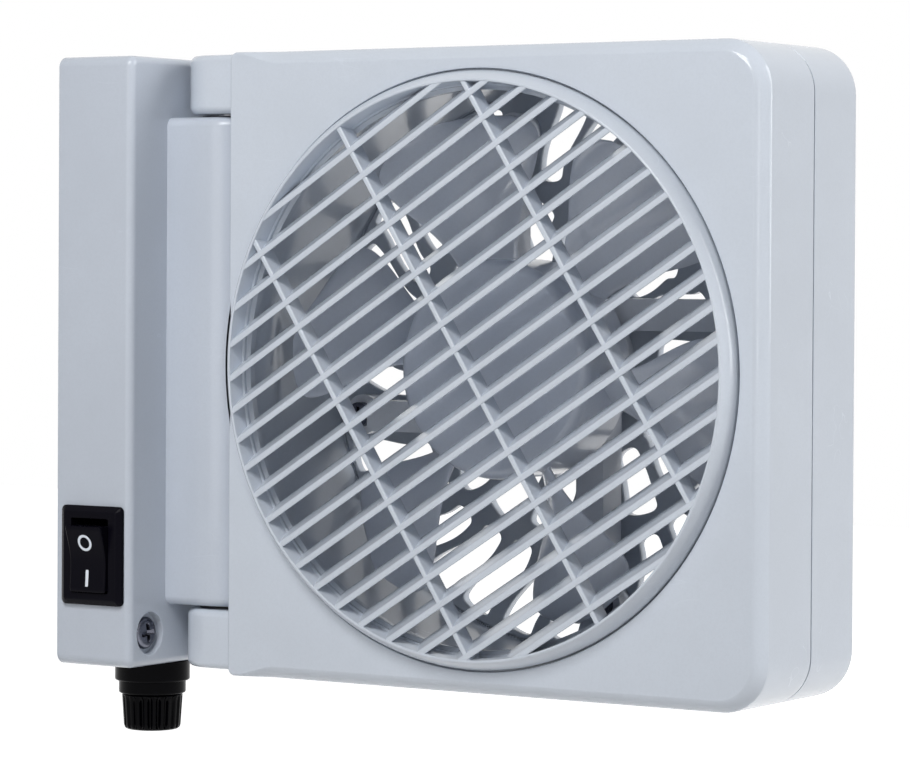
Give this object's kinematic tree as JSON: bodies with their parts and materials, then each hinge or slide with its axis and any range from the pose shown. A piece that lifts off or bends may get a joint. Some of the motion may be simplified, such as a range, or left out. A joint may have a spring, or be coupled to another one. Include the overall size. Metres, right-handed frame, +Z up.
{
  "type": "marine fan",
  "caption": "Bulkhead-mounted cabin fan: upright base with rocker switch and fuse holder, and a square head on a friction hinge, with a louvre grille that turns by hand.",
  "frame": {"origin": "middle of the flat mounting face of the base, level with the hinge axis", "axes": "+X away from the bulkhead, -Y to the front where the switch and the louvre grille are, +Z up along the hinge"},
  "size_m": [0.161, 0.0539, 0.1424],
  "materials": {
    "housing_plastic": "fine matt moulded texture",
    "impeller_plastic": "satin moulded",
    "black_plastic": "satin moulded",
    "switch_plastic": "satin moulded",
    "white_print": "printed",
    "rubber": "matt",
    "terminal_plastic": "moulded",
    "nylon": "moulded",
    "brass": "turned",
    "screw_steel": "bright plated",
    "steel": "drawn",
    "glass": "clear",
    "wire_insulation": "smooth",
    "magnet": "sintered",
    "carbon": "pressed carbon",
    "core_iron": "stamped sheets",
    "copper": "enamelled wire"
  },
  "bodies": {
    "base": {"mounting_plate": "housing_plastic", "screw_posts": "housing_plastic", "cable_grommet": "rubber", "terminal_block": "terminal_plastic", "terminal_screws": "brass", "base_housing": "housing_plastic", "base_screws": "screw_steel", "hinge_bushes": "nylon", "switch_case": "switch_plastic", "switch_terminals": "brass", "fuse_holder_body": "black_plastic", "fuse_holder_nut": "black_plastic", "fuse_terminals": "brass", "base_wiring": "wire_insulation"},
    "rocker": {"rocker": "switch_plastic", "rocker_marks": "white_print"},
    "fuse": {"fuse_glass": "glass", "fuse_end_caps": "steel"},
    "fuse_cap": {"fuse_cap": "black_plastic", "fuse_spring": "steel"},
    "head": {"front_shell": "housing_plastic", "rear_shell": "housing_plastic", "rear_grille": "housing_plastic", "shell_screws": "screw_steel", "hinge_pins": "steel", "friction_washers": "steel", "motor_mount": "housing_plastic", "mount_screws": "screw_steel", "motor_can": "steel", "motor_end_cap": "terminal_plastic", "motor_magnets": "magnet", "motor_brushes": "carbon", "motor_bearings": "brass", "motor_screws": "screw_steel", "head_wiring": "wire_insulation"},
    "grille": {"louvre_grille": "housing_plastic"},
    "rotor": {"impeller": "impeller_plastic", "hub_insert": "brass", "motor_shaft": "steel", "armature_core": "core_iron", "armature_windings": "copper", "commutator": "copper"}
  },
  "joints": [
    {"name": "rocker_tilt", "type": "hinge", "parent": "base", "child": "rocker", "pos_m": [0.0099, -0.018, -0.0402], "axis": [-1, 0, 0], "range_deg": [0, 14]},
    {"name": "fuse_pull", "type": "slide", "parent": "base", "child": "fuse", "axis": [0, 0, -1], "range_m": [0, 0.024]},
    {"name": "fuse_cap_turn", "type": "hinge", "parent": "fuse", "child": "fuse_cap", "pos_m": [0.00965, 0, -0.0744], "axis": [0, 0, 1], "range_deg": [0, 45]},
    {"name": "head_turn", "type": "hinge", "parent": "base", "child": "head", "pos_m": [0.0295, 0, 0], "axis": [0, 0, 1], "range_deg": [-65, 40]},
    {"name": "grille_turn", "type": "hinge", "parent": "head", "child": "grille", "pos_m": [0.096, -0.009, 0], "axis": [0, 1, 0], "continuous": true},
    {"name": "rotor_spin", "type": "hinge", "parent": "head", "child": "rotor", "pos_m": [0.096, 0.007, 0], "axis": [0, 1, 0], "continuous": true}
  ]
}
